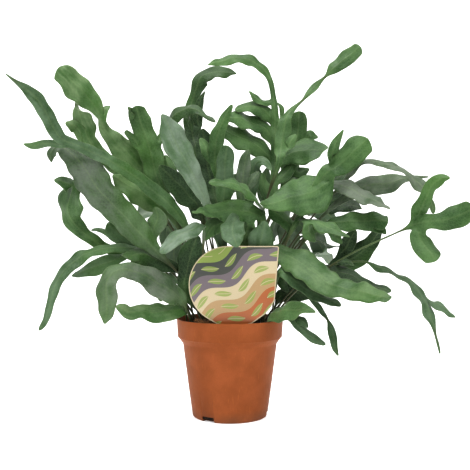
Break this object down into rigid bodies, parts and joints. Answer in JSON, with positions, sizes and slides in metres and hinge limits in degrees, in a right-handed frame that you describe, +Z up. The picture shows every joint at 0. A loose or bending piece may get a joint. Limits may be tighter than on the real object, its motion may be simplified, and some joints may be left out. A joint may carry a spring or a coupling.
{
  "type": "potted blue star fern",
  "caption": "Bushy fern with long lobed blue-green fronds on thin stems, in a tapered round pot of soil with a plant label.",
  "frame": {"origin": "middle of the pot's underside, on the surface that it stands on", "axes": "+Z up; the front of the pot, with the label, faces -Y; +X to the right seen from the front"},
  "size_m": [0.451, 0.3382, 0.4257],
  "materials": {
    "terracotta_plastic": "satin moulded plastic",
    "soil": "rough crumbly potting soil",
    "rhizome": "brown furry scales",
    "label": "printed plastic sheet, semi-matt",
    "leaf": "smooth waxy leaf with a pale bloom"
  },
  "bodies": {
    "root": {"frond_arch_over_label": "leaf", "frond_back_left": "leaf", "frond_back_low_left": "leaf", "frond_back_low_right": "leaf", "frond_back_middle": "leaf", "frond_back_right": "leaf", "frond_back_rim": "leaf", "frond_behind_label_far": "leaf", "frond_behind_label_left": "leaf", "frond_behind_label_mid": "leaf", "frond_behind_label_right": "leaf", "frond_broad_left": "leaf", "frond_centre_curved": "leaf", "frond_centre_dark": "leaf", "frond_centre_green": "leaf", "frond_centre_grey": "leaf", "frond_centre_left_dark": "leaf", "frond_centre_pale": "leaf", "frond_centre_short": "leaf", "frond_dark_arch": "leaf", "frond_far_left": "leaf", "frond_high_dark": "leaf", "frond_left_bright": "leaf", "frond_left_dark": "leaf", "frond_left_droop": "leaf", "frond_left_grey_droop": "leaf", "frond_left_hidden": "leaf", "frond_left_low": "leaf", "frond_left_oval": "leaf", "frond_left_round": "leaf", "frond_left_strip": "leaf", "frond_low_twisted": "leaf", "frond_lowest_left": "leaf", "frond_over_label": "leaf", "frond_over_rim": "leaf", "frond_right_big": "leaf", "frond_right_chain": "leaf", "frond_right_dark": "leaf", "frond_right_deep": "leaf", "frond_right_edge": "leaf", "frond_right_end": "leaf", "frond_right_finger": "leaf", "frond_right_level": "leaf", "frond_right_light": "leaf", "frond_right_low_dark": "leaf", "frond_right_pale": "leaf", "frond_right_slender": "leaf", "frond_right_small": "leaf", "frond_right_squared": "leaf", "frond_right_strap": "leaf", "frond_rim_arch": "leaf", "frond_rim_droop": "leaf", "frond_tall_centre": "leaf", "frond_tall_right": "leaf", "frond_upright_folded": "leaf", "label": "label", "pot": "terracotta_plastic", "rhizome_left": "rhizome", "rhizome_right": "rhizome", "soil": "soil"}
  },
  "joints": []
}
